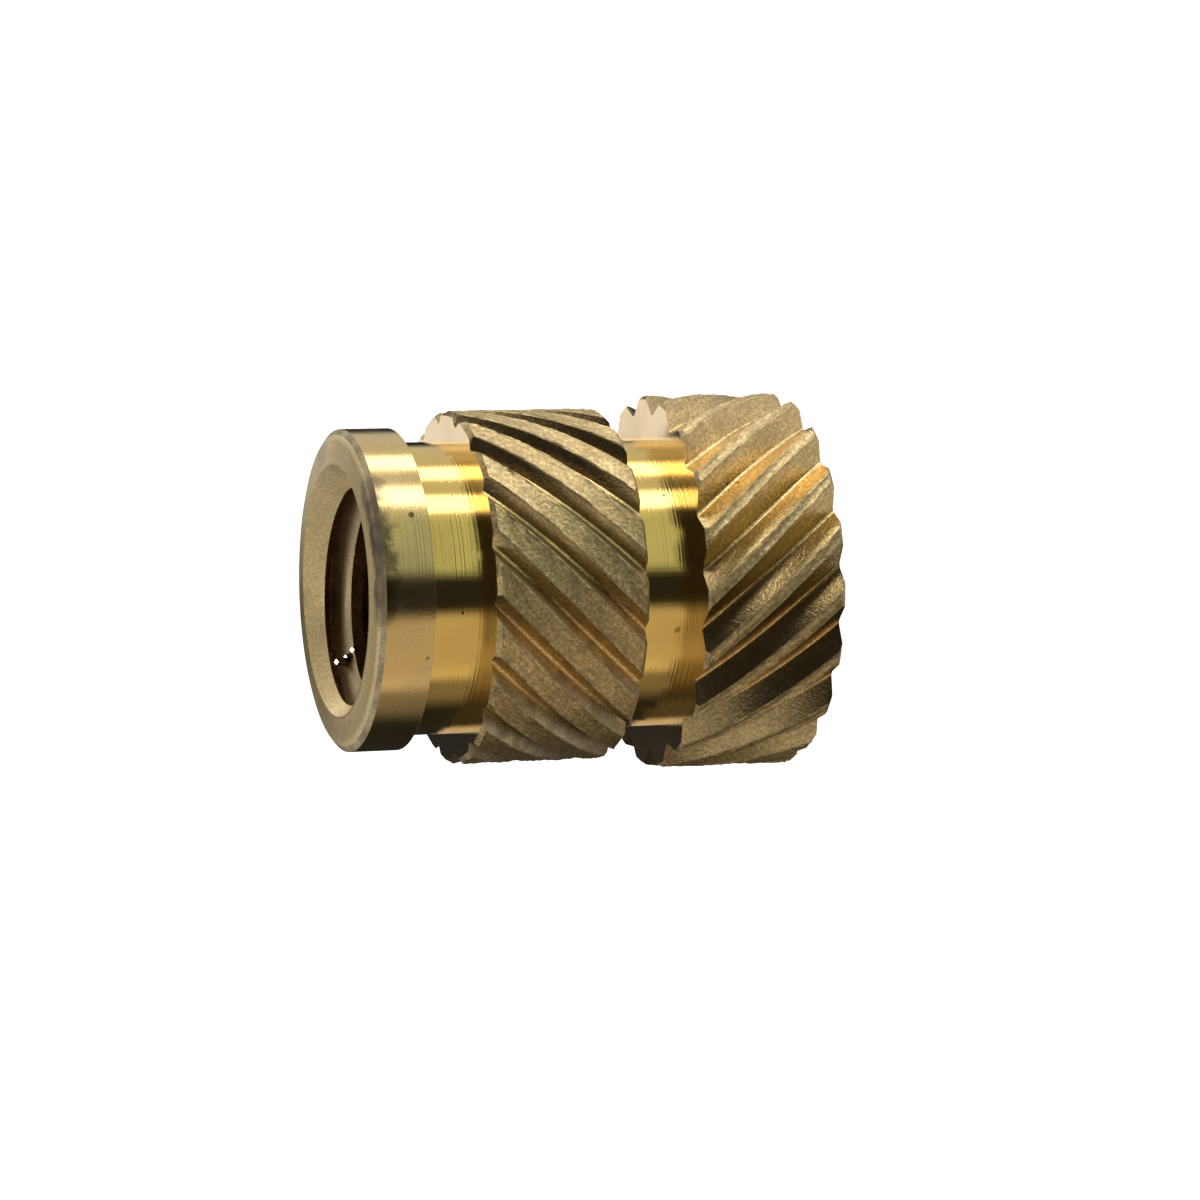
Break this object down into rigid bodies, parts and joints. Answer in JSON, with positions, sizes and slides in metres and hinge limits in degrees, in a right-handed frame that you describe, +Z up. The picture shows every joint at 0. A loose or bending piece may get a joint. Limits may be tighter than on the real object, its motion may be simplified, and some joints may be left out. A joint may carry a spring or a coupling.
{
  "type": "threaded insert",
  "caption": "Brass threaded insert for plastic: opposed helical knurls on two bands, plain grooves between them, a smooth pilot and a threaded through hole.",
  "frame": {"origin": "centre of the large band's end face, on the insert's axis", "axes": "+Z runs up the axis from the large band's end face to the pilot; +X and +Y are square to it and set only the turn of the teeth"},
  "size_m": [0.0046, 0.0046, 0.0057],
  "materials": {
    "brass": "fine turned brass, satin on the necks and pilot, grainy matte on the rolled teeth"
  },
  "bodies": {
    "root": {"insert_body": "brass"}
  },
  "joints": []
}
